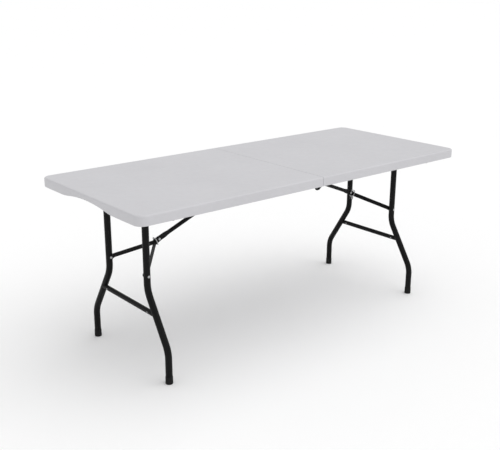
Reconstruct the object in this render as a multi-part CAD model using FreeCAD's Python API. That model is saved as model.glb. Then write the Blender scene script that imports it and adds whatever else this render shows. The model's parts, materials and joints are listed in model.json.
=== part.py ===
import FreeCAD, Part
import math
import os

V = FreeCAD.Vector

# Folding table: two hollow moulded tabletop halves that fold underside to
# underside about a pair of link hinges, each with a leg frame that folds flat
# into its recess and is held open by a jointed brace with a sliding lock ring.
#
# Millimetres.  X runs along the table with the seam at x = 0, Y runs across it
# (near side negative), Z is up from the floor.  Every half-table piece is built
# for the right half, x > 0, and mirrored for the left.

# ---- Overall sizes ---------------------------------------------------------
TABLE_LENGTH = 1800.0
TABLE_WIDTH = 750.0
TABLE_HEIGHT = 740.0

# ---- Tabletop half ---------------------------------------------------------
RIM_DEPTH = 40.0             # height of the rim, top surface to rim bottom
RIM_WIDTH = 26.0             # rim from its outer to its inner face
SEAM_WALL = 16.0             # the same along the seam
PANEL_DEPTH = 13.0           # top surface to the ceiling of the recess
GROOVE_PANEL_DEPTH = 5.0     # the same over the strut groove
GROOVE_WIDTH = 40.0
GROOVE_OUTER_GAP = 150.0     # from the groove's end to the end of the table
SKIN = 3.0                   # moulded wall
GROOVE_SKIN = 2.5
SEAM_GAP = 1.0
PLAN_CORNER_RADIUS = 37.0
RECESS_CORNER_RADIUS = 16.0
TOP_EDGE_RADIUS = 7.0
BOTTOM_EDGE_RADIUS = 3.0
SEAM_EDGE_RADIUS = 2.0
ARCH_RISE = 17.0             # hand arch in the end rim
ARCH_HALF_WIDTH = 205.0
ARCH_MIDDLE_SHARE = 0.7      # share of the arch's turn taken by its middle arc

# ---- Tack-off dimples, moulded up from the recess ceiling to the top skin ---
DIMPLE_MOUTH_RADIUS = 8.0
DIMPLE_FLOOR_RADIUS = 4.5
DIMPLE_DEPTH = 9.0
DIMPLE_SKIN = 2.5
DIMPLE_PITCH = 68.0          # most that neighbours stand apart
DIMPLE_MARGIN = 22.0         # from the steel, the groove and the recess's end

# ---- Steel rails under the long rims ---------------------------------------
RAIL_THICKNESS = 2.0
RAIL_FLANGE = 20.0
RAIL_LIFT = 2.0              # bottom edge above the rim bottom
RAIL_END_GAP = 1.0
SCREW_RADIUS = 2.0
SCREW_LENGTH = 10.0
SCREW_HEAD_RADIUS = 4.5
SCREW_HEAD_HEIGHT = 2.4
PILOT_CLEARANCE = 0.05
RAIL_SCREWS = 5
RAIL_SCREW_INSET = 30.0      # first and last screw from the hinge leaf and the rail's end
RAIL_RIVET_INSET = 10.0      # rivet from the end of its plate
LEAF_RIVET_INSET = 32.0      # first rivet of the hinge leaf, clear of its ear

# ---- Centre hinge ----------------------------------------------------------
HINGE_PIVOT_FROM_SEAM = 10.0
HINGE_PIVOT_DROP = 6.0       # below the rim bottom
HINGE_PIN_RADIUS = 3.0
HINGE_PLATE = 3.0
HINGE_EAR_RADIUS = 8.0
HINGE_LINK_REACH = 5.7       # link beyond its pivots, inside the folding rims
HINGE_LINK_BELOW = 16.0
HINGE_LINK_LOW_RADIUS = 12.0
HINGE_LINK_TOP_RADIUS = 5.5
HINGE_EAR_RUN = 24.0         # from the rail's end to where the leaf's ear begins
HINGE_LEAF_LENGTH = 84.0
HINGE_LEAF_HEIGHT = 19.0
HINGE_LEAF_LIFT = 1.0        # bottom edge above the rail's
RIVET_LEVEL_SHARE = 0.6      # of the leaf's height, from the rail's bottom edge
HINGE_HEAD_RADIUS = 5.0
HINGE_HEAD_HEIGHT = 1.6

# ---- Leg frame -------------------------------------------------------------
LEG_TUBE_RADIUS = 14.0
LEG_TUBE_WALL = 1.2
LEG_INSET = 169.0            # leg plane from the end of the table
LEG_PIVOT_DROP = 0.0         # pivot axis below the rim bottom
LEG_TOP_SPREAD = 290.0       # between the two legs' axes at the top
LEG_FOOT_SPREAD = 560.0      # the same at the floor
LEG_UPPER_BEND_Z = 352.0
LEG_LOWER_BEND_Z = 135.0
LEG_BEND_RADIUS = 110.0
PIVOT_PIN_RADIUS = 6.0
PIVOT_PLUG_LENGTH = 10.0
PIVOT_TUBE_END_GAP = 6.0     # from the tube's end to the bracket
PIVOT_EAR_RADIUS = 10.0
PIVOT_BRACKET_LENGTH = 70.0
CROSSBAR_Z = 266.0
CROSSBAR_RADIUS = 10.5
CROSSBAR_OUTWARD = 3.0       # its axis outward of the leg plane, clear of the folded strut
CROSSBAR_STUB_LENGTH = 62.0
CROSSBAR_RIVET_INSET = 43.0  # rivet from the leg's axis
CROSSBAR_HEAD_RADIUS = 3.0
CROSSBAR_HEAD_HEIGHT = 1.4
CROSSBAR_HEAD_SINK = 0.3     # head seated into the round of the bar
FOOT_HEIGHT = 30.0
FOOT_RADIUS = 15.5
FOOT_WAIST = 15.0            # radius at its top
FOOT_TOE = 2.5
FOOT_FLOOR = 3.0

# ---- Jointed brace ---------------------------------------------------------
BRACE_RIVET_BELOW_PIVOT = 287.0
BRACE_ANGLE = 28.3           # degrees above level, from the leg to the knuckle
FOLDED_KNUCKLE_RISE = 16.9   # knuckle above the folded leg plane
ARM_WIDTH = 19.0
ARM_THICKNESS = 3.0
ARM_BEND_RADIUS = 8.0
ARM_TAB = 14.0               # straight tab inward of the leg rivet
ARM_KNUCKLE_FLAT = 26.0      # straight run beside the knuckle
BRACE_RIVET_RADIUS = 3.5
BRACE_HEAD_RADIUS = 5.5
BRACE_HEAD_HEIGHT = 2.2
KNUCKLE_RIVET_RADIUS = 3.5

STRUT_RADIUS = 8.75
STRUT_WALL = 1.2
STRUT_FLAT = 5.0             # thickness of its flattened ends
KNUCKLE_LUG_WIDTH = 22.0
KNUCKLE_LUG_LENGTH = 32.0
KNUCKLE_TAIL = 28.0          # lug beyond the knuckle, inside the lock ring
ANCHOR_LUG_WIDTH = 13.0
ANCHOR_LUG_LENGTH = 30.0
STRUT_TAPER = 40.0
TAPER_ROUND_SHARE = 0.6      # of the tube's radius that the widening keeps to
ANCHOR_FROM_SEAM = 30.0
ANCHOR_BELOW_CEILING = 10.1
ANCHOR_PIN_RADIUS = 3.5
ANCHOR_HEAD_RADIUS = 4.5

RING_WIRE_RADIUS = 2.0
RING_INNER_HALF_HEIGHT = 13.6
RING_INNER_HALF_WIDTH = 9.5
RING_CORNER_RADIUS = 6.0
RING_FROM_KNUCKLE = 18.0

# ---- Cross member and strut bracket ----------------------------------------
CROSS_WIDTH = 40.0
CROSS_THICKNESS = 3.0
CHEEK_THICKNESS = 2.0
CHEEK_FLANGE = 20.0
CHEEK_SEAM_INSET = 2.0       # cheek from the cross member's seam edge
CHEEK_OUTER_INSET = 4.0      # and from its other edge
CROSS_SCREWS = 3             # on each side of the strut groove
CROSS_SCREW_INSET = 40.0     # first screw from the groove, last from the rail
CROSS_SCREW_SHARE = 0.7      # across the cross member's width, from the seam
CROSS_TO_FLANGE = 2.0        # cross member's edge to the rail's flange

# ---- Carry handle under the far rim of the left half -----------------------
HANDLE_FROM_SEAM = 450.0
HANDLE_LENGTH = 120.0
HANDLE_REACH = 34.0
HANDLE_ROD_RADIUS = 5.0
HANDLE_BEND_RADIUS = 14.0
HANDLE_DROP = 7.5            # its axis below the rim bottom
HANDLE_FROM_EDGE = 13.0      # its axis from the long edge
HANDLE_PIN_RADIUS = 3.0
CLIP_WIDTH = 16.0
CLIP_LENGTH = 12.0
CLIP_EDGE_RADIUS = 3.0

# ---- Domed heads, as shares of the head's radius and height -----------------
HEAD_BRIM_SHARE = 0.3        # upright edge
HEAD_FLAT_SHARE = 0.25       # flat on top
HEAD_DOME_SHARES = (0.68, 0.86)        # a point of the dome, out and up

# ---- Clearances ------------------------------------------------------------
PIVOT_CLEARANCE = 0.08       # radial, pin in a hole that turns on it
PLATE_CLEARANCE = 0.4        # between plates that swing past each other
END_CLEARANCE = 0.5
GROOVE_END_FLAT = 0.5        # left between the rounds at the strut groove's end
TOOL_REACH = 1.0             # by which a cut passes the face it opens
TINY = 0.01                  # tolerance when edges are picked by their place
SHORTEST_EDGE = 1.0          # least length of an edge picked by its direction

# ---- Places worked out from the sizes --------------------------------------
HALF_LENGTH = TABLE_LENGTH / 2
HALF_WIDTH = TABLE_WIDTH / 2
TOP_Z = TABLE_HEIGHT
RIM_Z = TOP_Z - RIM_DEPTH
CEILING_Z = TOP_Z - PANEL_DEPTH
GROOVE_Z = TOP_Z - GROOVE_PANEL_DEPTH
RECESS_END = HALF_LENGTH - RIM_WIDTH
RECESS_SIDE = HALF_WIDTH - RIM_WIDTH

WEB_INNER_Y = RECESS_SIDE - RAIL_THICKNESS
PLATE_INNER_Y = WEB_INNER_Y - HINGE_PLATE
LINK_OUTER_Y = PLATE_INNER_Y - PLATE_CLEARANCE
LINK_INNER_Y = LINK_OUTER_Y - HINGE_PLATE

HINGE_Z = RIM_Z - HINGE_PIVOT_DROP
LEG_X = HALF_LENGTH - LEG_INSET
LEG_PIVOT = V(LEG_X, 0, RIM_Z - LEG_PIVOT_DROP)
LEG_RIVET = LEG_PIVOT - V(0, 0, BRACE_RIVET_BELOW_PIVOT)
ANCHOR = V(ANCHOR_FROM_SEAM, 0, CEILING_Z - ANCHOR_BELOW_CEILING)

ARM_TAB_Y = LEG_TOP_SPREAD / 2 - LEG_TUBE_RADIUS - PLATE_CLEARANCE - ARM_THICKNESS / 2
ARM_KNUCKLE_Y = STRUT_FLAT / 2 + PLATE_CLEARANCE + ARM_THICKNESS / 2
ARM_FACE_Y = ARM_KNUCKLE_Y + ARM_THICKNESS / 2


def brace_arm_length():
    """Length from the leg rivet to the knuckle with which the brace both holds
    the leg upright and folds away beside the strut, its knuckle at the folded
    height: the strut has one length in both places."""
    angle = math.radians(BRACE_ANGLE)
    reach = LEG_RIVET.x - ANCHOR.x
    drop = ANCHOR.z - LEG_RIVET.z
    folded_reach = LEG_PIVOT.x - BRACE_RIVET_BELOW_PIVOT - ANCHOR.x
    folded_drop = ANCHOR.z - LEG_PIVOT.z
    difference = (reach ** 2 + drop ** 2 - folded_reach ** 2 - folded_drop ** 2) / 2
    known = difference + FOLDED_KNUCKLE_RISE * folded_drop
    along = reach * math.cos(angle) + drop * math.sin(angle)
    a = along ** 2 - folded_reach ** 2
    b = -2 * known * along
    c = known ** 2 + (folded_reach * FOLDED_KNUCKLE_RISE) ** 2
    return (-b - math.sqrt(b ** 2 - 4 * a * c)) / (2 * a)


ARM_DIRECTION = V(-math.cos(math.radians(BRACE_ANGLE)), 0, math.sin(math.radians(BRACE_ANGLE)))
ARM_NORMAL = V(-ARM_DIRECTION.z, 0, ARM_DIRECTION.x)
ARM_LENGTH = brace_arm_length()
KNUCKLE = LEG_RIVET + ARM_DIRECTION * ARM_LENGTH
STRUT_LENGTH = (ANCHOR - KNUCKLE).Length
STRUT_DIRECTION = (ANCHOR - KNUCKLE) * (1 / STRUT_LENGTH)
STRUT_NORMAL = V(-STRUT_DIRECTION.z, 0, STRUT_DIRECTION.x)

ACROSS = V(0, 1, 0)
UP = V(0, 0, 1)


# ---- Shape helpers ---------------------------------------------------------
def box(x0, x1, y0, y1, z0, z1):
    return Part.makeBox(x1 - x0, y1 - y0, z1 - z0, V(x0, y0, z0))


def rod(start, end, radius):
    axis = end - start
    return Part.makeCylinder(radius, axis.Length, start, axis)


def cross_pin(centre, y0, y1, radius):
    """A cylinder along Y through a point of the XZ plane."""
    return rod(V(centre.x, y0, centre.z), V(centre.x, y1, centre.z), radius)


def pipe(start, end, radius, wall):
    return rod(start, end, radius).cut(rod(start, end, radius - wall))


def placed(shape, origin, direction):
    """A copy of a shape built up +Z from the origin, stood on a point."""
    copy = shape.copy()
    copy.Placement = FreeCAD.Placement(origin, FreeCAD.Rotation(UP, direction))
    return copy


def button(radius, height):
    """Low domed head on the XY plane."""
    flat = radius * HEAD_FLAT_SHARE
    brim = height * HEAD_BRIM_SHARE
    dome = V(radius * HEAD_DOME_SHARES[0], 0, height * HEAD_DOME_SHARES[1])
    edges = [
        Part.LineSegment(V(0, 0, 0), V(radius, 0, 0)).toShape(),
        Part.LineSegment(V(radius, 0, 0), V(radius, 0, brim)).toShape(),
        Part.Arc(V(radius, 0, brim), dome, V(flat, 0, height)).toShape(),
        Part.LineSegment(V(flat, 0, height), V(0, 0, height)).toShape(),
        Part.LineSegment(V(0, 0, height), V(0, 0, 0)).toShape(),
    ]
    return Part.Face(Part.Wire(edges)).revolve(V(0, 0, 0), UP, 360)


def head(origin, direction, radius, height):
    return placed(button(radius, height), origin, direction)


def screw(origin, direction):
    """Button-head screw: head face down on origin, shank into direction."""
    shank = rod(origin, origin + direction * SCREW_LENGTH, SCREW_RADIUS)
    cap = head(origin, direction * -1, SCREW_HEAD_RADIUS, SCREW_HEAD_HEIGHT)
    return shank.fuse(cap).removeSplitter()


def bent_path(points, radius):
    """Straight runs joined by tangent arcs of one radius."""
    edges = []
    start = points[0]
    for index in range(1, len(points) - 1):
        corner = points[index]
        before = (corner - points[index - 1]).normalize()
        after = (points[index + 1] - corner).normalize()
        half_turn = before.getAngle(after) / 2
        setback = radius * math.tan(half_turn)
        first = corner - before * setback
        last = corner + after * setback
        inward = (after - before).normalize()
        middle = corner + inward * (radius / math.cos(half_turn) - radius)
        edges.append(Part.LineSegment(start, first).toShape())
        edges.append(Part.Arc(first, middle, last).toShape())
        start = last
    edges.append(Part.LineSegment(start, points[-1]).toShape())
    return Part.Wire(edges)


def bent_rod(points, bend_radius, radius):
    path = bent_path(points, bend_radius)
    direction = points[1] - points[0]
    profile = Part.Wire(Part.Circle(points[0], direction, radius).toShape())
    return path.makePipeShell([profile], True, False)


def bent_tube(points, bend_radius, radius, wall):
    return bent_rod(points, bend_radius, radius).cut(bent_rod(points, bend_radius, radius - wall))


def edges_where(shape, test):
    return [edge for edge in shape.Edges if test(edge.BoundBox)]


def is_upright(bounds):
    return bounds.XLength < TINY and bounds.YLength < TINY and bounds.ZLength > SHORTEST_EDGE


def at_outer_end(bounds):
    return is_upright(bounds) and bounds.XMin > HALF_LENGTH / 2


def rounded_block(x0, x1, side, z0, z1, radius):
    block = box(x0, x1, -side, side, z0, z1)
    return block.makeFillet(radius, edges_where(block, is_upright))


def on_left_half(shape):
    return shape.mirror(V(0, 0, 0), V(1, 0, 0))


def on_near_side(shape):
    return shape.mirror(V(0, 0, 0), ACROSS)


def on_both_sides(piece):
    """Compound of a piece at +Y and its twin at -Y."""
    return Part.makeCompound([piece, on_near_side(piece)])


# ---- Tabletop half ---------------------------------------------------------
def arch_cutter(x0, x1, lift):
    """The space under the hand arch: a middle arc that runs out tangent to the
    rim bottom through an arc bent the other way on each side."""
    radii = (ARCH_HALF_WIDTH ** 2 + ARCH_RISE ** 2) / (2 * ARCH_RISE)
    turn = math.asin(ARCH_HALF_WIDTH / radii)
    middle_radius = radii * ARCH_MIDDLE_SHARE
    end_radius = radii - middle_radius
    crown = RIM_Z + ARCH_RISE + lift
    foot = RIM_Z + lift

    def on_middle(angle):
        y = middle_radius * math.sin(angle)
        return V(x0, y, crown - middle_radius * (1 - math.cos(angle)))

    def on_end(angle):
        y = ARCH_HALF_WIDTH - end_radius * math.sin(angle)
        return V(x0, y, foot + end_radius * (1 - math.cos(angle)))

    def opposite(point):
        return V(point.x, -point.y, point.z)

    toe = on_end(0)
    below = V(x0, ARCH_HALF_WIDTH, RIM_Z - TOOL_REACH)
    edges = [
        Part.Arc(opposite(on_middle(turn)), on_middle(0), on_middle(turn)).toShape(),
        Part.Arc(on_middle(turn), on_end(turn / 2), toe).toShape(),
        Part.LineSegment(toe, below).toShape(),
        Part.LineSegment(below, opposite(below)).toShape(),
        Part.LineSegment(opposite(below), opposite(toe)).toShape(),
        Part.Arc(
            opposite(toe), opposite(on_end(turn / 2)), opposite(on_middle(turn))
        ).toShape(),
    ]
    return Part.Face(Part.Wire(edges)).extrude(V(x1 - x0, 0, 0))


def recess(growth):
    space = box(
        SEAM_WALL - growth,
        RECESS_END + growth,
        -RECESS_SIDE - growth,
        RECESS_SIDE + growth,
        RIM_Z - TOOL_REACH,
        CEILING_Z + growth,
    )
    return space.makeFillet(RECESS_CORNER_RADIUS + growth, edges_where(space, at_outer_end))


def strut_groove(side_growth, height_growth):
    return rounded_block(
        SEAM_WALL - side_growth,
        HALF_LENGTH - GROOVE_OUTER_GAP + side_growth,
        GROOVE_WIDTH / 2 + side_growth,
        RIM_Z - TOOL_REACH,
        GROOVE_Z + height_growth,
        GROOVE_WIDTH / 2 + side_growth - GROOVE_END_FLAT,
    )


def evenly(first, last, pitch):
    """Positions from first to last, at most one pitch apart."""
    gaps = math.ceil((last - first) / pitch)
    return [first + (last - first) * index / gaps for index in range(gaps + 1)]


def dimples(growth):
    """Cones over the recess ceiling, clear of the groove and of the steel."""
    first_x = rail_span()[0] + CROSS_WIDTH + DIMPLE_MARGIN
    first_y = GROOVE_WIDTH / 2 + DIMPLE_MARGIN
    last_y = WEB_INNER_Y - RAIL_FLANGE - DIMPLE_MARGIN
    cones = []
    for x in evenly(first_x, RECESS_END - DIMPLE_MARGIN, DIMPLE_PITCH):
        for y in evenly(first_y, last_y, DIMPLE_PITCH):
            for side in (-1, 1):
                cones.append(Part.makeCone(
                    DIMPLE_MOUTH_RADIUS + growth,
                    DIMPLE_FLOOR_RADIUS + growth,
                    DIMPLE_DEPTH + growth,
                    V(x, side * y, CEILING_Z),
                    UP,
                ))
    return cones


def moulded_void():
    """The sealed air space between the skins, in the rim and in the panel."""
    space = box(
        SEAM_GAP / 2 + SKIN,
        HALF_LENGTH - SKIN,
        -HALF_WIDTH + SKIN,
        HALF_WIDTH - SKIN,
        RIM_Z + SKIN,
        TOP_Z - SKIN,
    )
    space = space.makeFillet(PLAN_CORNER_RADIUS - SKIN, edges_where(space, at_outer_end))
    space = space.cut(recess(SKIN))
    space = space.cut(strut_groove(GROOVE_SKIN, GROOVE_SKIN))
    space = space.cut(dimples(DIMPLE_SKIN))
    return space.cut(arch_cutter(RECESS_END - SKIN, HALF_LENGTH + TOOL_REACH, SKIN))


def tabletop():
    body = box(SEAM_GAP / 2, HALF_LENGTH, -HALF_WIDTH, HALF_WIDTH, RIM_Z, TOP_Z)
    body = body.makeFillet(PLAN_CORNER_RADIUS, edges_where(body, at_outer_end))
    body = body.cut(arch_cutter(RECESS_END - TOOL_REACH, HALF_LENGTH + TOOL_REACH, 0))

    def outer_bottom(bounds):
        """The end face's lower edge, arch and all, and the long rims' outer one."""
        on_end_face = bounds.XMin > HALF_LENGTH - TINY and bounds.ZMax < CEILING_Z
        beyond_arch = min(abs(bounds.YMin), abs(bounds.YMax)) > ARCH_HALF_WIDTH + TINY
        on_rim_bottom = bounds.ZMax < RIM_Z + TINY and bounds.XLength > SHORTEST_EDGE
        return on_end_face or (on_rim_bottom and beyond_arch)

    def outer_top(bounds):
        return bounds.ZMin > TOP_Z - TINY and bounds.XMax > SEAM_GAP

    body = body.makeFillet(BOTTOM_EDGE_RADIUS, edges_where(body, outer_bottom))
    body = body.makeFillet(TOP_EDGE_RADIUS, edges_where(body, outer_top))

    def seam_top(bounds):
        above_the_round = bounds.ZMin > RIM_Z + BOTTOM_EDGE_RADIUS - TINY
        return bounds.XMax < SEAM_GAP / 2 + TINY and above_the_round

    body = body.makeFillet(SEAM_EDGE_RADIUS, edges_where(body, seam_top))
    body = body.cut(recess(0))
    body = body.cut(strut_groove(0, 0))
    body = body.cut(dimples(0))
    body = body.cut(moulded_void())
    for place, direction in screw_places():
        end = place + direction * SCREW_LENGTH
        body = body.cut(rod(place, end, SCREW_RADIUS + PILOT_CLEARANCE))
    return body


# ---- Rails, screws and rivets of one half ----------------------------------
def rail_span():
    return SEAM_WALL + RAIL_END_GAP, RECESS_END - RECESS_CORNER_RADIUS


def rail_screw_x():
    """Screw positions, spaced evenly from the hinge leaf to the rail's end; one
    that would fall on the leg bracket goes beside it."""
    start, end = rail_span()
    first = start + HINGE_LEAF_LENGTH + RAIL_SCREW_INSET
    pitch = (end - RAIL_SCREW_INSET - first) / (RAIL_SCREWS - 1)
    positions = [first + pitch * index for index in range(RAIL_SCREWS)]
    keep_off = PIVOT_BRACKET_LENGTH / 2 + SCREW_HEAD_RADIUS
    return [x if abs(x - LEG_X) > keep_off else LEG_X - keep_off for x in positions]


def cross_screw_x():
    return rail_span()[0] + CROSS_WIDTH * CROSS_SCREW_SHARE


def cross_screw_y():
    first = GROOVE_WIDTH / 2 + CROSS_SCREW_INSET
    pitch = (WEB_INNER_Y - CROSS_SCREW_INSET - first) / (CROSS_SCREWS - 1)
    return [first + pitch * index for index in range(CROSS_SCREWS)]


def screw_places():
    """Point under each screw's head, and the direction it drives in."""
    level = (RIM_Z + RAIL_LIFT + CEILING_Z) / 2
    places = []
    for side in (-1, 1):
        for x in rail_screw_x():
            places.append((V(x, side * WEB_INNER_Y, level), V(0, side, 0)))
        for y in cross_screw_y():
            below = CEILING_Z - CROSS_THICKNESS
            places.append((V(cross_screw_x(), side * y, below), UP))
    return places


def rivet_x():
    """Rivets through the web: two in the hinge leaf, two in the leg bracket."""
    start = rail_span()[0]
    reach = PIVOT_BRACKET_LENGTH / 2 - RAIL_RIVET_INSET
    leaf_end = start + HINGE_LEAF_LENGTH
    return (start + LEAF_RIVET_INSET, leaf_end - RAIL_RIVET_INSET, LEG_X - reach, LEG_X + reach)


def rivet_level():
    return RIM_Z + RAIL_LIFT + HINGE_LEAF_HEIGHT * RIVET_LEVEL_SHARE


def far_rivet_shanks():
    shanks = []
    for x in rivet_x():
        centre = V(x, 0, rivet_level())
        shanks.append(cross_pin(centre, PLATE_INNER_Y, RECESS_SIDE, SCREW_RADIUS))
    return shanks


def far_rail():
    start, end = rail_span()
    web = box(start, end, WEB_INNER_Y, RECESS_SIDE, RIM_Z + RAIL_LIFT, CEILING_Z)
    flange = box(
        start + CROSS_WIDTH + CROSS_TO_FLANGE,
        end,
        WEB_INNER_Y - RAIL_FLANGE,
        WEB_INNER_Y,
        CEILING_Z - RAIL_THICKNESS,
        CEILING_Z,
    )
    rail = web.fuse(flange).removeSplitter()
    for place, direction in screw_places():
        hole = rod(place, place + direction * SCREW_LENGTH, SCREW_RADIUS + PILOT_CLEARANCE)
        rail = rail.cut(hole)
    for shank in far_rivet_shanks():
        rail = rail.cut(shank)
    return rail


def rail_screws():
    return Part.makeCompound([screw(place, direction) for place, direction in screw_places()])


def far_rail_rivets():
    rivets = []
    for shank in far_rivet_shanks():
        centre = shank.CenterOfMass
        base = V(centre.x, PLATE_INNER_Y, centre.z)
        cap = head(base, V(0, -1, 0), SCREW_HEAD_RADIUS, SCREW_HEAD_HEIGHT)
        rivets.append(shank.fuse(cap).removeSplitter())
    return Part.makeCompound(rivets)


# ---- Centre hinge ----------------------------------------------------------
def far_hinge_leaf():
    """Leaf riveted to the rail web, with an ear that hangs below the rim."""
    start = rail_span()[0]
    pivot = V(HINGE_PIVOT_FROM_SEAM, 0, HINGE_Z)
    low = RIM_Z + RAIL_LIFT + HINGE_LEAF_LIFT
    outline = Part.makePolygon([
        V(start, PLATE_INNER_Y, low + HINGE_LEAF_HEIGHT),
        V(start + HINGE_LEAF_LENGTH, PLATE_INNER_Y, low + HINGE_LEAF_HEIGHT),
        V(start + HINGE_LEAF_LENGTH, PLATE_INNER_Y, low),
        V(start + HINGE_EAR_RUN, PLATE_INNER_Y, low),
        V(pivot.x, PLATE_INNER_Y, HINGE_Z - HINGE_EAR_RADIUS),
        V(pivot.x, PLATE_INNER_Y, RIM_Z - PLATE_CLEARANCE),
        V(start, PLATE_INNER_Y, RIM_Z - PLATE_CLEARANCE),
        V(start, PLATE_INNER_Y, low + HINGE_LEAF_HEIGHT),
    ])
    leaf = Part.Face(outline).extrude(V(0, HINGE_PLATE, 0))
    ear = cross_pin(pivot, PLATE_INNER_Y, WEB_INNER_Y, HINGE_EAR_RADIUS)
    ear = ear.cut(box(-start, start, 0, HALF_WIDTH, RIM_Z - PLATE_CLEARANCE, TOP_Z))
    leaf = leaf.fuse(ear).removeSplitter()
    leaf = leaf.cut(cross_pin(pivot, 0, HALF_WIDTH, HINGE_PIN_RADIUS + PIVOT_CLEARANCE))
    for shank in far_rivet_shanks():
        leaf = leaf.cut(shank)
    return leaf


def far_hinge_link():
    """Link plate between the two hinge pivots, its ends rounded to turn under
    the rims."""
    left = -HINGE_PIVOT_FROM_SEAM - HINGE_LINK_REACH
    top = RIM_Z - PLATE_CLEARANCE
    bottom = HINGE_Z - HINGE_LINK_BELOW
    link = box(left, -left, LINK_INNER_Y, LINK_OUTER_Y, bottom, top)

    def lower_corner(bounds):
        return bounds.YLength > SHORTEST_EDGE and bounds.ZMax < bottom + TINY

    def upper_corner(bounds):
        return bounds.YLength > SHORTEST_EDGE and bounds.ZMin > top - TINY

    link = link.makeFillet(HINGE_LINK_LOW_RADIUS, edges_where(link, lower_corner))
    link = link.makeFillet(HINGE_LINK_TOP_RADIUS, edges_where(link, upper_corner))
    for side in (-1, 1):
        pivot = V(side * HINGE_PIVOT_FROM_SEAM, 0, HINGE_Z)
        link = link.cut(cross_pin(pivot, 0, HALF_WIDTH, HINGE_PIN_RADIUS))
    return link


def far_hinge_pins():
    pins = []
    for side in (-1, 1):
        pivot = V(side * HINGE_PIVOT_FROM_SEAM, 0, HINGE_Z)
        outer = WEB_INNER_Y + PLATE_CLEARANCE
        pin = cross_pin(pivot, LINK_INNER_Y, outer, HINGE_PIN_RADIUS)
        inner_head = head(
            V(pivot.x, LINK_INNER_Y, pivot.z), V(0, -1, 0), HINGE_HEAD_RADIUS, HINGE_HEAD_HEIGHT
        )
        outer_head = head(
            V(pivot.x, outer, pivot.z), ACROSS, HINGE_HEAD_RADIUS, HINGE_HEAD_HEIGHT
        )
        pins.append(pin.fuse([inner_head, outer_head]).removeSplitter())
    return pins


# ---- Leg frame -------------------------------------------------------------
def far_pivot_bracket():
    reach = PIVOT_BRACKET_LENGTH / 2
    low = RIM_Z + RAIL_LIFT + HINGE_LEAF_LIFT
    high = low + HINGE_LEAF_HEIGHT
    outline = Part.makePolygon([
        V(LEG_X - reach, PLATE_INNER_Y, high),
        V(LEG_X + reach, PLATE_INNER_Y, high),
        V(LEG_X + reach, PLATE_INNER_Y, low),
        V(LEG_X + PIVOT_EAR_RADIUS, PLATE_INNER_Y, LEG_PIVOT.z),
        V(LEG_X - PIVOT_EAR_RADIUS, PLATE_INNER_Y, LEG_PIVOT.z),
        V(LEG_X - reach, PLATE_INNER_Y, low),
        V(LEG_X - reach, PLATE_INNER_Y, high),
    ])
    bracket = Part.Face(outline).extrude(V(0, HINGE_PLATE, 0))
    bracket = bracket.fuse(cross_pin(LEG_PIVOT, PLATE_INNER_Y, WEB_INNER_Y, PIVOT_EAR_RADIUS))
    bracket = bracket.removeSplitter()
    hole = cross_pin(LEG_PIVOT, 0, HALF_WIDTH, PIVOT_PIN_RADIUS + PIVOT_CLEARANCE)
    bracket = bracket.cut(hole)
    for shank in far_rivet_shanks():
        bracket = bracket.cut(shank)
    return bracket


def leg_pivot_tube():
    """Tube across the frame with a welded plug and a pivot pin in each end."""
    end = PLATE_INNER_Y - PIVOT_TUBE_END_GAP
    tube = cross_pin(LEG_PIVOT, -end, end, LEG_TUBE_RADIUS)
    bore = cross_pin(
        LEG_PIVOT, -end + PIVOT_PLUG_LENGTH, end - PIVOT_PLUG_LENGTH,
        LEG_TUBE_RADIUS - LEG_TUBE_WALL,
    )
    pin_end = WEB_INNER_Y - END_CLEARANCE
    pin = cross_pin(LEG_PIVOT, -pin_end, pin_end, PIVOT_PIN_RADIUS)
    return tube.fuse(pin).removeSplitter().cut(bore)


def leg_points():
    top = LEG_TOP_SPREAD / 2
    foot = LEG_FOOT_SPREAD / 2
    return [
        V(LEG_X, top, LEG_PIVOT.z),
        V(LEG_X, top, LEG_UPPER_BEND_Z),
        V(LEG_X, foot, LEG_LOWER_BEND_Z),
        V(LEG_X, foot, FOOT_FLOOR),
    ]


def far_leg():
    """Bent leg tube, coped round the pivot tube it is welded to."""
    leg = bent_tube(leg_points(), LEG_BEND_RADIUS, LEG_TUBE_RADIUS, LEG_TUBE_WALL)
    leg = leg.cut(cross_pin(LEG_PIVOT, -HALF_WIDTH, HALF_WIDTH, LEG_TUBE_RADIUS))
    return leg.cut(far_leg_rivet_shank())


def leg_y_at(z):
    drop = (LEG_UPPER_BEND_Z - z) / (LEG_UPPER_BEND_Z - LEG_LOWER_BEND_Z)
    return (LEG_TOP_SPREAD + (LEG_FOOT_SPREAD - LEG_TOP_SPREAD) * drop) / 2


def crossbar_point(y):
    return V(LEG_X + CROSSBAR_OUTWARD, y, CROSSBAR_Z)


def crossbar_rivet_y():
    return leg_y_at(CROSSBAR_Z) - CROSSBAR_RIVET_INSET


def crossbar_rivet_shank(side):
    middle = crossbar_point(side * crossbar_rivet_y())
    reach = V(CROSSBAR_RADIUS, 0, 0)
    return rod(middle - reach, middle + reach, SCREW_RADIUS)


def solid_legs():
    far = bent_rod(leg_points(), LEG_BEND_RADIUS, LEG_TUBE_RADIUS)
    return far, on_near_side(far)


def crossbar():
    end = leg_y_at(CROSSBAR_Z)
    bar = pipe(crossbar_point(-end), crossbar_point(end), CROSSBAR_RADIUS, LEG_TUBE_WALL)
    for leg in solid_legs():
        bar = bar.cut(leg)
    for side in (-1, 1):
        bar = bar.cut(crossbar_rivet_shank(side))
    return bar


def far_crossbar_stub():
    """Short rod welded to the leg, over which the crossbar is riveted."""
    end = leg_y_at(CROSSBAR_Z)
    stub = rod(
        crossbar_point(end - CROSSBAR_STUB_LENGTH), crossbar_point(end),
        CROSSBAR_RADIUS - LEG_TUBE_WALL - PILOT_CLEARANCE,
    )
    return stub.cut(solid_legs()[0]).cut(crossbar_rivet_shank(1))


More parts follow.
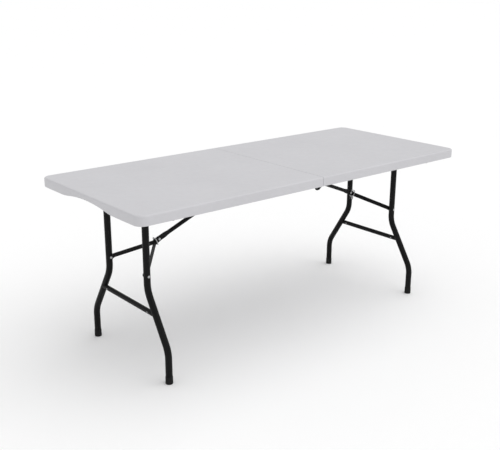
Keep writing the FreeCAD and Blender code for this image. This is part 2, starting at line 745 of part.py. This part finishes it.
def crossbar_rivets():
    """Rivets through bar and stub, their heads seated on the round of the bar."""
    rivets = []
    for side in (-1, 1):
        shank = crossbar_rivet_shank(side)
        middle = crossbar_point(side * crossbar_rivet_y())
        rivet = shank
        for facing in (-1, 1):
            outward = V(facing, 0, 0)
            base = middle + outward * (CROSSBAR_RADIUS - CROSSBAR_HEAD_SINK)
            cap = head(base, outward, CROSSBAR_HEAD_RADIUS, CROSSBAR_HEAD_HEIGHT)
            rivet = rivet.fuse(cap)
        along = V(0, CROSSBAR_RIVET_INSET, 0)
        bar = pipe(middle - along, middle + along, CROSSBAR_RADIUS, LEG_TUBE_WALL).cut(shank)
        rivets.append(rivet.removeSplitter().cut(bar))
    return Part.makeCompound(rivets)


def far_foot():
    """Moulded cap over the end of the leg tube."""
    inside = LEG_TUBE_RADIUS + PILOT_CLEARANCE
    toe_corner = FOOT_TOE * (1 - math.sqrt(0.5))
    edges = [
        Part.LineSegment(V(0, 0, 0), V(FOOT_RADIUS - FOOT_TOE, 0, 0)).toShape(),
        Part.Arc(
            V(FOOT_RADIUS - FOOT_TOE, 0, 0),
            V(FOOT_RADIUS - toe_corner, 0, toe_corner),
            V(FOOT_RADIUS, 0, FOOT_TOE),
        ).toShape(),
        Part.LineSegment(V(FOOT_RADIUS, 0, FOOT_TOE), V(FOOT_WAIST, 0, FOOT_HEIGHT)).toShape(),
        Part.LineSegment(V(FOOT_WAIST, 0, FOOT_HEIGHT), V(inside, 0, FOOT_HEIGHT)).toShape(),
        Part.LineSegment(V(inside, 0, FOOT_HEIGHT), V(inside, 0, FOOT_FLOOR)).toShape(),
        Part.LineSegment(V(inside, 0, FOOT_FLOOR), V(0, 0, FOOT_FLOOR)).toShape(),
        Part.LineSegment(V(0, 0, FOOT_FLOOR), V(0, 0, 0)).toShape(),
    ]
    foot = Part.Face(Part.Wire(edges)).revolve(V(0, 0, 0), UP, 360)
    return placed(foot, V(LEG_X, LEG_FOOT_SPREAD / 2, 0), UP)


def far_leg_rivet_shank():
    axis = LEG_TOP_SPREAD / 2
    return cross_pin(LEG_RIVET, axis - LEG_TUBE_RADIUS, axis + LEG_TUBE_RADIUS, BRACE_RIVET_RADIUS)


def far_leg_rivet():
    """Rivet through the leg, headed outside; its inner end meets the arm."""
    outside = LEG_TOP_SPREAD / 2 + LEG_TUBE_RADIUS
    base = V(LEG_RIVET.x, outside, LEG_RIVET.z)
    return far_leg_rivet_shank().fuse(
        head(base, ACROSS, BRACE_HEAD_RADIUS, BRACE_HEAD_HEIGHT)
    ).removeSplitter()


# ---- Jointed brace ---------------------------------------------------------
def arm_point(along, y):
    point = LEG_RIVET + ARM_DIRECTION * along
    return V(point.x, y, point.z)


def far_brace_arm():
    """Flat strap on edge: a tab at the leg, a slant inward, a flat at the
    knuckle, with both ends rounded."""
    half_width = ARM_WIDTH / 2
    knuckle_start = ARM_LENGTH - ARM_KNUCKLE_FLAT
    points = [
        arm_point(-half_width, ARM_TAB_Y),
        arm_point(ARM_TAB, ARM_TAB_Y),
        arm_point(knuckle_start, ARM_KNUCKLE_Y),
        arm_point(ARM_LENGTH + half_width, ARM_KNUCKLE_Y),
    ]
    strip = bent_path(points, ARM_BEND_RADIUS).makeOffset2D(ARM_THICKNESS / 2, 0, True, False)
    strip.translate(ARM_NORMAL * -half_width)
    arm = strip.extrude(ARM_NORMAL * ARM_WIDTH)
    between = Part.makeBox(ARM_LENGTH, TABLE_WIDTH, ARM_WIDTH * 2)
    between.Placement = FreeCAD.Placement(
        arm_point(0, -HALF_WIDTH) - ARM_NORMAL * ARM_WIDTH,
        FreeCAD.Rotation(ARM_DIRECTION, ACROSS, ARM_NORMAL, "XYZ"),
    )
    keep = between.fuse([
        cross_pin(LEG_RIVET, 0, HALF_WIDTH, half_width),
        cross_pin(KNUCKLE, 0, HALF_WIDTH, half_width),
    ])
    arm = arm.common(keep).removeSplitter()
    arm = arm.cut(cross_pin(KNUCKLE, 0, HALF_WIDTH, KNUCKLE_RIVET_RADIUS))
    return arm.cut(cross_pin(LEG_RIVET, 0, ARM_TAB_Y + ARM_THICKNESS, BRACE_RIVET_RADIUS))


def far_brace_end_rivet():
    """Headed inside the arm; its flush end faces the rivet in the leg."""
    inner = ARM_TAB_Y - ARM_THICKNESS / 2
    shank = cross_pin(LEG_RIVET, inner, inner + ARM_THICKNESS, BRACE_RIVET_RADIUS)
    base = V(LEG_RIVET.x, inner, LEG_RIVET.z)
    return shank.fuse(
        head(base, V(0, -1, 0), BRACE_HEAD_RADIUS, BRACE_HEAD_HEIGHT)
    ).removeSplitter()


def through_rivet(centre, reach, radius, head_radius):
    """Rivet along Y with a head at each end, at y = -reach and reach."""
    rivet = cross_pin(centre, -reach, reach, radius)
    for side in (-1, 1):
        base = V(centre.x, side * reach, centre.z)
        rivet = rivet.fuse(head(base, V(0, side, 0), head_radius, BRACE_HEAD_HEIGHT))
    return rivet.removeSplitter()


def knuckle_rivet():
    return through_rivet(KNUCKLE, ARM_FACE_Y, KNUCKLE_RIVET_RADIUS, BRACE_HEAD_RADIUS)


def strut_point(along):
    return KNUCKLE + STRUT_DIRECTION * along


def lug(start, end, width):
    """Flattened end of the strut between two distances from the knuckle."""
    half_width = width / 2
    blank = Part.makeBox(end - start, STRUT_FLAT, width)
    blank.Placement = FreeCAD.Placement(
        strut_point(start) - STRUT_NORMAL * half_width - ACROSS * (STRUT_FLAT / 2),
        FreeCAD.Rotation(STRUT_DIRECTION, ACROSS, STRUT_NORMAL, "XYZ"),
    )
    return blank


def lug_end(along, width):
    centre = strut_point(along)
    return cross_pin(centre, -STRUT_FLAT / 2, STRUT_FLAT / 2, width / 2)


def wedge(start, end, start_half, end_half, spread, across, reach):
    """Tapering block along the strut: it grows in the spread direction from
    one half height to another, and reaches evenly along across."""
    corners = [
        strut_point(start) + spread * start_half,
        strut_point(end) + spread * end_half,
        strut_point(end) - spread * end_half,
        strut_point(start) - spread * start_half,
    ]
    corners = [corner - across * reach for corner in corners]
    outline = Part.makePolygon(corners + [corners[0]])
    return Part.Face(outline).extrude(across * (2 * reach))


def strut_taper(flat_at, round_at, width):
    """Where the tube is pressed flat: it thins one way and widens the other."""
    thinning = rod(strut_point(flat_at), strut_point(round_at), STRUT_RADIUS).common(
        wedge(flat_at, round_at, STRUT_FLAT / 2, STRUT_RADIUS, ACROSS, STRUT_NORMAL, width)
    )
    round_half = STRUT_RADIUS * TAPER_ROUND_SHARE
    widening = wedge(
        flat_at, round_at, width / 2, round_half, STRUT_NORMAL, ACROSS, STRUT_FLAT / 2
    )
    return thinning.fuse(widening)


def strut():
    knuckle_side = KNUCKLE_LUG_LENGTH
    tube_start = knuckle_side + STRUT_TAPER
    anchor_side = STRUT_LENGTH - ANCHOR_LUG_LENGTH
    tube_end = anchor_side - STRUT_TAPER
    tail_end = KNUCKLE_LUG_WIDTH / 2 - KNUCKLE_TAIL
    tube = pipe(strut_point(tube_start), strut_point(tube_end), STRUT_RADIUS, STRUT_WALL)
    shape = tube.fuse([
        strut_taper(knuckle_side, tube_start, KNUCKLE_LUG_WIDTH),
        lug(tail_end, knuckle_side, KNUCKLE_LUG_WIDTH),
        lug_end(tail_end, KNUCKLE_LUG_WIDTH),
        strut_taper(anchor_side, tube_end, ANCHOR_LUG_WIDTH),
        lug(anchor_side, STRUT_LENGTH, ANCHOR_LUG_WIDTH),
        lug_end(STRUT_LENGTH, ANCHOR_LUG_WIDTH),
    ]).removeSplitter()
    shape = shape.cut(
        cross_pin(KNUCKLE, -HALF_WIDTH, HALF_WIDTH, KNUCKLE_RIVET_RADIUS + PIVOT_CLEARANCE)
    )
    return shape.cut(
        cross_pin(ANCHOR, -HALF_WIDTH, HALF_WIDTH, ANCHOR_PIN_RADIUS + PIVOT_CLEARANCE)
    )


def lock_ring():
    """Closed wire loop round the knuckle, square to the strut."""
    centre = strut_point(-RING_FROM_KNUCKLE)
    high = STRUT_NORMAL * (RING_INNER_HALF_HEIGHT + RING_WIRE_RADIUS)
    wide = ACROSS * (RING_INNER_HALF_WIDTH + RING_WIRE_RADIUS)
    points = [
        centre + high,
        centre + high + wide,
        centre - high + wide,
        centre - high - wide,
        centre + high - wide,
        centre + high,
    ]
    path = bent_path(points, RING_CORNER_RADIUS)
    profile = Part.Wire(Part.Circle(points[0], ACROSS, RING_WIRE_RADIUS).toShape())
    return path.makePipeShell([profile], True, False)


# ---- Cross member and strut bracket ----------------------------------------
def cross_member():
    start = rail_span()[0]
    below = CEILING_Z - CROSS_THICKNESS
    bar = box(start, start + CROSS_WIDTH, -WEB_INNER_Y, WEB_INNER_Y, below, CEILING_Z)
    for place, direction in screw_places():
        hole = rod(place, place + direction * SCREW_LENGTH, SCREW_RADIUS + PILOT_CLEARANCE)
        bar = bar.cut(hole)
    return bar


def far_strut_cheek():
    """Angle piece under the cross member that holds one end of the pin."""
    inner = STRUT_FLAT / 2 + PLATE_CLEARANCE
    outer = inner + CHEEK_THICKNESS
    top = CEILING_Z - CROSS_THICKNESS
    start = rail_span()[0] + CHEEK_SEAM_INSET
    end = rail_span()[0] + CROSS_WIDTH - CHEEK_OUTER_INSET
    cheek = box(start, end, inner, outer, ANCHOR.z, top)
    cheek = cheek.fuse([
        cross_pin(ANCHOR, inner, outer, ANCHOR_LUG_WIDTH / 2),
        box(start, end, inner, inner + CHEEK_FLANGE, top - CHEEK_THICKNESS, top),
    ]).removeSplitter()
    return cheek.cut(cross_pin(ANCHOR, 0, HALF_WIDTH, ANCHOR_PIN_RADIUS))


def strut_pin():
    cheek_face = STRUT_FLAT / 2 + PLATE_CLEARANCE + CHEEK_THICKNESS
    return through_rivet(ANCHOR, cheek_face, ANCHOR_PIN_RADIUS, ANCHOR_HEAD_RADIUS)


# ---- Carry handle ----------------------------------------------------------
HANDLE_Y = HALF_WIDTH - HANDLE_FROM_EDGE
HANDLE_Z = RIM_Z - HANDLE_DROP


def handle_point(offset, inward):
    return V(HANDLE_FROM_SEAM + offset, HANDLE_Y - inward, HANDLE_Z)


def carry_handle():
    """Bail handle, stowed inward under the rim, with a pin at each end."""
    half = HANDLE_LENGTH / 2
    beyond = -HANDLE_ROD_RADIUS
    bail = bent_rod(
        [
            handle_point(-half, beyond),
            handle_point(-half, HANDLE_REACH),
            handle_point(half, HANDLE_REACH),
            handle_point(half, beyond),
        ],
        HANDLE_BEND_RADIUS,
        HANDLE_ROD_RADIUS,
    )
    pin_reach = half + HANDLE_ROD_RADIUS + END_CLEARANCE + CLIP_LENGTH
    pins = [
        rod(handle_point(side * half, 0), handle_point(side * pin_reach, 0), HANDLE_PIN_RADIUS)
        for side in (-1, 1)
    ]
    return bail.fuse(pins).removeSplitter()


def handle_clips():
    """Blocks under the rim that hold the handle's pins."""
    clips = []
    near_face = HANDLE_LENGTH / 2 + HANDLE_ROD_RADIUS + END_CLEARANCE
    for side in (-1, 1):
        start = HANDLE_FROM_SEAM + side * near_face
        end = start + side * CLIP_LENGTH
        block = box(
            min(start, end), max(start, end), HANDLE_Y - CLIP_WIDTH / 2,
            HANDLE_Y + CLIP_WIDTH / 2, HANDLE_Z - HANDLE_ROD_RADIUS, RIM_Z,
        )

        def lower_edge(bounds):
            low = bounds.ZMax < HANDLE_Z - HANDLE_ROD_RADIUS + TINY
            return low and bounds.XLength > SHORTEST_EDGE

        block = block.makeFillet(CLIP_EDGE_RADIUS, edges_where(block, lower_edge))
        hole = rod(
            handle_point(0, 0), handle_point(side * TABLE_WIDTH / 2, 0),
            HANDLE_PIN_RADIUS + PIVOT_CLEARANCE,
        )
        clips.append(block.cut(hole))
    return Part.makeCompound(clips)


# ---- Nodes -----------------------------------------------------------------
def half_nodes():
    """Every piece of the right half, by name."""
    nodes = {
        "tabletop": tabletop(),
        "rail_screws": rail_screws(),
        "cross_member": cross_member(),
        "strut_bracket": on_both_sides(far_strut_cheek()),
        "strut_pin": strut_pin(),
        "rail_rivets": on_both_sides(far_rail_rivets()),
        "leg_pivot_tube": leg_pivot_tube(),
        "crossbar": crossbar(),
        "crossbar_stubs": on_both_sides(far_crossbar_stub()),
        "crossbar_rivets": crossbar_rivets(),
        "leg_rivets": on_both_sides(far_leg_rivet()),
        "brace_end_rivets": on_both_sides(far_brace_end_rivet()),
        "knuckle_rivet": knuckle_rivet(),
        "strut": strut(),
        "lock_ring": lock_ring(),
    }
    paired = {
        "rail": far_rail(),
        "hinge_leaf": far_hinge_leaf(),
        "pivot_bracket": far_pivot_bracket(),
        "leg": far_leg(),
        "foot": far_foot(),
        "brace_arm": far_brace_arm(),
    }
    for name, shape in paired.items():
        nodes["far_" + name] = shape
        nodes["near_" + name] = on_near_side(shape)
    return nodes


def all_nodes():
    nodes = {}
    for name, shape in half_nodes().items():
        nodes["right_" + name] = shape
        nodes["left_" + name] = on_left_half(shape)
    link = far_hinge_link()
    nodes["far_hinge_link"] = link
    nodes["near_hinge_link"] = on_near_side(link)
    pins = far_hinge_pins()
    nodes["hinge_pins"] = Part.makeCompound(pins + [on_near_side(pin) for pin in pins])
    nodes["carry_handle"] = on_left_half(carry_handle())
    nodes["handle_clips"] = on_left_half(handle_clips())
    return nodes


def main():
    os.makedirs("parts", exist_ok=True)
    for name, shape in sorted(all_nodes().items()):
        shape.exportStep("parts/" + name + ".step")
        print(name, "solids", len(shape.Solids), "valid", shape.isValid(),
              "volume", round(shape.Volume / 1000, 2))


main()
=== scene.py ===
import json
import math

import bmesh
import bpy
from mathutils import Matrix, Vector


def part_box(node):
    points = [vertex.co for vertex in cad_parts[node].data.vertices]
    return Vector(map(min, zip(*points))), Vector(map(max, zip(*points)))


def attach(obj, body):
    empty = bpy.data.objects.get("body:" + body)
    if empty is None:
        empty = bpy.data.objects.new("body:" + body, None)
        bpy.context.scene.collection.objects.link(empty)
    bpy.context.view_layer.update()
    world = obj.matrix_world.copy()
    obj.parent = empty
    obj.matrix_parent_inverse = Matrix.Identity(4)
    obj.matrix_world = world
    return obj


# Folding table: the CAD nodes with procedural materials, and the weld beads,
# foot cap rings and grip ridges that ride on them.

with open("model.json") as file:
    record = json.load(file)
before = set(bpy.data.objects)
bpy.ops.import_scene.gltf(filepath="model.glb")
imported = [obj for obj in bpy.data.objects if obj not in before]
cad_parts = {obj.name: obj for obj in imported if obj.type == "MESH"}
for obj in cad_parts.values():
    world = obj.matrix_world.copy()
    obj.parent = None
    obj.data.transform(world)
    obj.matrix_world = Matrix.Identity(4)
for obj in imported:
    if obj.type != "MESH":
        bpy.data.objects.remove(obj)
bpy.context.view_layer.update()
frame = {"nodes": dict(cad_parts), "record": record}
NODES = frame["nodes"]
SIDES = ("left", "right")

# ---- Camera ----------------------------------------------------------------
CAMERA_PLACE = (-2.2556, -2.5845, 1.5285)
CAMERA_TURN = 40.045         # degrees from +Y towards +X
CAMERA_DOWN = 17.614
CAMERA_ROLL = 0.248
CAMERA_LENS = 56.15          # mm
CAMERA_SENSOR = 36.0         # mm across
CAMERA_SIGHT = 100.0         # metres to the far clip


def make_camera():
    data = bpy.data.cameras.new("camera")
    data.sensor_width = CAMERA_SENSOR
    data.lens = CAMERA_LENS
    data.clip_end = CAMERA_SIGHT
    camera = bpy.data.objects.new("camera", data)
    bpy.context.scene.collection.objects.link(camera)
    camera.matrix_world = (
        Matrix.Translation(CAMERA_PLACE)
        @ Matrix.Rotation(math.radians(-CAMERA_TURN), 4, "Z")
        @ Matrix.Rotation(math.radians(90 - CAMERA_DOWN), 4, "X")
        @ Matrix.Rotation(math.radians(CAMERA_ROLL), 4, "Z")
    )
    bpy.context.scene.camera = camera


# ---- Room ------------------------------------------------------------------
SKY_STRENGTH = 0.72
FLOOR_HALF_SIZE = 300.0
FLOOR_SHADE = 0.97
SUN_TOWARDS = (0.36, -0.30, 0.88)      # from the table to the lamp
SUN_STRENGTH = 1.15
SUN_ANGLE = 80.0                       # degrees across; a wide, soft source


def make_world():
    world = bpy.data.worlds.new("studio")
    world.use_nodes = True
    background = world.node_tree.nodes["Background"]
    background.inputs["Color"].default_value = (1.0, 1.0, 1.0, 1.0)
    background.inputs["Strength"].default_value = SKY_STRENGTH
    bpy.context.scene.world = world
    bpy.context.scene.view_settings.view_transform = "Standard"


def make_floor():
    mesh = bpy.data.meshes.new("floor")
    far = FLOOR_HALF_SIZE
    mesh.from_pydata(
        [(-far, -far, 0), (far, -far, 0), (far, far, 0), (-far, far, 0)],
        [],
        [(0, 1, 2, 3)],
    )
    floor = bpy.data.objects.new("floor", mesh)
    bpy.context.scene.collection.objects.link(floor)
    material = bpy.data.materials.new("studio_floor")
    material.use_nodes = True
    shader = material.node_tree.nodes["Principled BSDF"]
    shader.inputs["Base Color"].default_value = (FLOOR_SHADE, FLOOR_SHADE, FLOOR_SHADE, 1.0)
    shader.inputs["Roughness"].default_value = 0.9
    shader.inputs["Specular IOR Level"].default_value = 0.1
    mesh.materials.append(material)


def make_sun():
    data = bpy.data.lights.new("key", "SUN")
    data.energy = SUN_STRENGTH
    data.angle = math.radians(SUN_ANGLE)
    sun = bpy.data.objects.new("key", data)
    bpy.context.scene.collection.objects.link(sun)
    sun.matrix_world = Vector(SUN_TOWARDS).to_track_quat("Z", "Y").to_matrix().to_4x4()


# ---- Materials -------------------------------------------------------------
NOISE_LOW = 0.3              # the range that most of a noise lies in
NOISE_HIGH = 0.7
MIX_INPUTS = (6, 7)          # colour sockets of a Mix node
MIX_OUTPUT = 2


class Finish:
    """A procedural material, built node by node on object coordinates."""

    def __init__(self, name):
        self.material = bpy.data.materials.new(name)
        self.material.use_nodes = True
        self.tree = self.material.node_tree
        self.shader = self.tree.nodes["Principled BSDF"]
        coordinates = self.tree.nodes.new("ShaderNodeTexCoord")
        self.place = coordinates.outputs["Object"]

    def node(self, kind, **inputs):
        made = self.tree.nodes.new(kind)
        for name, value in inputs.items():
            self.feed(made, name.replace("_", " "), value)
        return made

    def feed(self, node, name, value):
        """Links a socket to an input, or sets the input's own value."""
        socket = node.inputs[name]
        if hasattr(value, "links"):
            self.tree.links.new(value, socket)
        else:
            socket.default_value = value

    def noise(self, scale, detail=2.0, roughness=0.5):
        made = self.node(
            "ShaderNodeTexNoise", Vector=self.place, Scale=scale, Detail=detail, Roughness=roughness
        )
        return made.outputs["Fac"]

    def cells(self, scale):
        made = self.node("ShaderNodeTexVoronoi", Vector=self.place, Scale=scale)
        return made.outputs["Distance"]

    def spread(self, value, to_low, to_high, low=NOISE_LOW, high=NOISE_HIGH):
        """Maps low..high of a value onto to_low..to_high."""
        made = self.node("ShaderNodeMapRange", Value=value)
        made.inputs["From Min"].default_value = low
        made.inputs["From Max"].default_value = high
        made.inputs["To Min"].default_value = to_low
        made.inputs["To Max"].default_value = to_high
        return made.outputs["Result"]

    def mix(self, factor, first, second):
        made = self.tree.nodes.new("ShaderNodeMix")
        made.data_type = "RGBA"
        self.tree.links.new(factor, made.inputs["Factor"])
        for index, value in zip(MIX_INPUTS, (first, second)):
            self.feed(made, index, value)
        return made.outputs[MIX_OUTPUT]

    def add(self, first, second, weight):
        """first + second * weight"""
        made = self.tree.nodes.new("ShaderNodeMath")
        made.operation = "MULTIPLY_ADD"
        self.tree.links.new(second, made.inputs[0])
        made.inputs[1].default_value = weight
        self.tree.links.new(first, made.inputs[2])
        return made.outputs[0]

    def bump(self, height, strength, distance):
        made = self.node("ShaderNodeBump", Height=height, Strength=strength, Distance=distance)
        self.tree.links.new(made.outputs["Normal"], self.shader.inputs["Normal"])

    def set(self, name, value):
        self.feed(self.shader, name, value)


def grey(level, blue=0.0):
    return (level, level, level + blue, 1.0)


def moulded_top():
    """Light granite grey polyethylene with a fine pebbled skin."""
    finish = Finish("moulded_top")
    cloud = finish.noise(3.0, 4.0, 0.55)
    fleck = finish.noise(900.0, 2.0, 0.6)
    darker = (0.575, 0.571, 0.594, 1.0)
    lighter = (0.603, 0.599, 0.622, 1.0)
    tone = finish.mix(finish.spread(cloud, 0.0, 1.0), darker, lighter)
    speckle = finish.spread(fleck, 0.0, 0.10, 0.35, 0.65)
    finish.set("Base Color", finish.mix(speckle, tone, grey(0.40, 0.01)))
    finish.set("Roughness", finish.spread(finish.noise(40.0, 3.0), 0.42, 0.54))
    finish.set("Specular IOR Level", 0.45)
    pebble = finish.add(finish.cells(520.0), finish.noise(1400.0, 2.0), 0.35)
    finish.bump(pebble, 0.22, 0.0004)
    return finish.material


def powder_coat():
    """Satin black powder coat with its fine orange peel."""
    finish = Finish("powder_coat")
    cloud = finish.noise(60.0, 3.0)
    finish.set("Base Color", finish.mix(cloud, grey(0.0042), grey(0.0065, 0.0004)))
    finish.set("Roughness", finish.spread(finish.noise(220.0, 3.0), 0.36, 0.48))
    finish.set("Specular IOR Level", 0.12)
    finish.bump(finish.add(finish.noise(900.0, 2.0), finish.noise(3200.0, 1.0), 0.3), 0.16, 0.0003)
    return finish.material


def zinc():
    """Bright zinc plate, a little clouded and brushed."""
    finish = Finish("zinc_plate")
    cloud = finish.noise(350.0, 4.0, 0.6)
    finish.set("Base Color", finish.mix(cloud, (0.36, 0.37, 0.39, 1.0), (0.56, 0.56, 0.55, 1.0)))
    finish.set("Metallic", 1.0)
    finish.set("Roughness", finish.spread(cloud, 0.24, 0.42))
    finish.bump(finish.noise(1800.0, 3.0), 0.10, 0.0002)
    return finish.material


def black_plastic(name, scale):
    """Black moulded plastic with a fine sparked texture."""
    finish = Finish(name)
    finish.set("Base Color", finish.mix(finish.noise(90.0, 2.0), grey(0.006), grey(0.010)))
    finish.set("Roughness", finish.spread(finish.noise(300.0, 2.0), 0.50, 0.64))
    finish.set("Specular IOR Level", 0.18)
    finish.bump(finish.add(finish.cells(scale), finish.noise(2400.0), 0.4), 0.25, 0.0003)
    return finish.material


def finish_nodes():
    finishes = {
        "moulded_top": moulded_top(),
        "dark_frame": powder_coat(),
        "zinc_fastener": zinc(),
        "foot_cap": black_plastic("foot_plastic", 1100.0),
        "handle_plastic": black_plastic("handle_plastic", 800.0),
    }
    for row in frame["record"]["subparts"]:
        node = NODES[row["node"]]
        node.data.materials.clear()
        node.data.materials.append(finishes[row["material_slot"]])
    return finishes


# ---- Detail pieces (metres) -------------------------------------------------
TUBE_SIDES = 10
WELD_RADIUS = 0.0019
WELD_POINTS = 72
WELD_RIPPLES = 26            # overlapping puddles round one joint
WELD_RIPPLE_SHARE = 0.16
CAP_RINGS = (0.30, 0.52, 0.74)         # share of the foot cap's height
CAP_RING_RADIUS = 0.0007
CAP_LIP_RADIUS = 0.0009
GRIP_RINGS = 13
GRIP_LENGTH = 0.072
GRIP_RING_RADIUS = 0.0016
RING_POINTS = 40
NEARLY_UPRIGHT = 0.05        # sine of the angle at which a run counts as upright
TOP_BAND = 0.002             # depth of a leg's end that gives its axis


def tube_loop(mesh, points, radius_at):
    """A closed tube through a ring of points, added to a bmesh."""
    count = len(points)
    rows = []
    for index, point in enumerate(points):
        along = (points[(index + 1) % count] - points[index - 1]).normalized()
        side = along.cross(Vector((0.0, 0.0, 1.0)))
        if side.length < NEARLY_UPRIGHT:
            side = along.cross(Vector((1.0, 0.0, 0.0)))
        side.normalize()
        lift = side.cross(along).normalized()
        radius = radius_at(index / count)
        row = []
        for step in range(TUBE_SIDES):
            angle = 2 * math.pi * step / TUBE_SIDES
            row.append(mesh.verts.new(
                point + (side * math.cos(angle) + lift * math.sin(angle)) * radius
            ))
        rows.append(row)
    for index, row in enumerate(rows):
        after = rows[(index + 1) % count]
        for step in range(TUBE_SIDES):
            across = (step + 1) % TUBE_SIDES
            mesh.faces.new((row[step], after[step], after[across], row[across]))


def finished_piece(name, mesh, body, slot, finishes):
    """Turns a bmesh into a named piece that rides on a body."""
    bmesh.ops.recalc_face_normals(mesh, faces=mesh.faces)
    for face in mesh.faces:
        face.smooth = True
    data = bpy.data.meshes.new(name)
    mesh.to_mesh(data)
    mesh.free()
    data.materials.append(finishes[slot])
    piece = bpy.data.objects.new(name, data)
    bpy.context.scene.collection.objects.link(piece)
    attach(piece, body)


def middle_and_half(node):
    """The centre of a node's box, and half of its size."""
    low, high = (Vector(corner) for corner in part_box(node))
    return (low + high) / 2, (high - low) / 2


def leg_top(node):
    """Where the leg's axis is at its upper end."""
    points = [vertex.co for vertex in NODES[node].data.vertices]
    highest = max(point.z for point in points)
    upper = [point.y for point in points if point.z > highest - TOP_BAND]
    return (min(upper) + max(upper)) / 2


def weld_beads(side, finishes):
    """The rippled bead where each leg is coped onto the pivot tube."""
    centre, half = middle_and_half(side + "_leg_pivot_tube")
    radius = half.x
    mesh = bmesh.new()

    def ripple(turn):
        return WELD_RADIUS * (1 + WELD_RIPPLE_SHARE * math.sin(2 * math.pi * WELD_RIPPLES * turn))

    for end in ("far", "near"):
        axis_y = leg_top(side + "_" + end + "_leg")
        points = []
        for index in range(WELD_POINTS):
            turn = 2 * math.pi * index / WELD_POINTS
            points.append(Vector((
                centre.x + radius * math.sin(turn),
                axis_y + radius * math.cos(turn),
                centre.z - radius * abs(math.cos(turn)),
            )))
        tube_loop(mesh, points, ripple)
    finished_piece(side + "_weld_beads", mesh, side + "_leg_frame", "dark_frame", finishes)


def level_ring(centre, radius, axis):
    """Points round a circle about the X or the Z axis."""
    points = []
    for index in range(RING_POINTS):
        turn = 2 * math.pi * index / RING_POINTS
        one = radius * math.cos(turn)
        two = radius * math.sin(turn)
        offset = Vector((0.0, one, two)) if axis == "X" else Vector((one, two, 0.0))
        points.append(centre + offset)
    return points


def foot_rings(side, finishes):
    """Moulded rings round each foot cap and the lip at its mouth."""
    mesh = bmesh.new()
    for end in ("far", "near"):
        centre, half = middle_and_half(side + "_" + end + "_foot")
        for share in CAP_RINGS:
            place = centre + Vector((0.0, 0.0, (2 * share - 1) * half.z))
            points = level_ring(place, half.x - CAP_RING_RADIUS, "Z")
            tube_loop(mesh, points, lambda turn: CAP_RING_RADIUS)
        mouth = centre + Vector((0.0, 0.0, half.z - CAP_LIP_RADIUS))
        points = level_ring(mouth, half.x - CAP_LIP_RADIUS, "Z")
        tube_loop(mesh, points, lambda turn: CAP_LIP_RADIUS)
    finished_piece(side + "_foot_rings", mesh, side + "_leg_frame", "foot_cap", finishes)


def handle_grip(finishes):
    """Ridges moulded round the middle of the carry handle."""
    centre, half = middle_and_half("carry_handle")
    rod_radius = half.z
    rod_y = centre.y - half.y + rod_radius
    mesh = bmesh.new()
    for index in range(GRIP_RINGS):
        offset = GRIP_LENGTH * (index / (GRIP_RINGS - 1) - 0.5)
        place = Vector((centre.x + offset, rod_y, centre.z))
        tube_loop(mesh, level_ring(place, rod_radius, "X"), lambda turn: GRIP_RING_RADIUS)
    finished_piece("handle_grip_ridges", mesh, "carry_handle", "handle_plastic", finishes)


make_camera()
make_world()
make_floor()
make_sun()
FINISHES = finish_nodes()
for table_side in SIDES:
    weld_beads(table_side, FINISHES)
    foot_rings(table_side, FINISHES)
handle_grip(FINISHES)
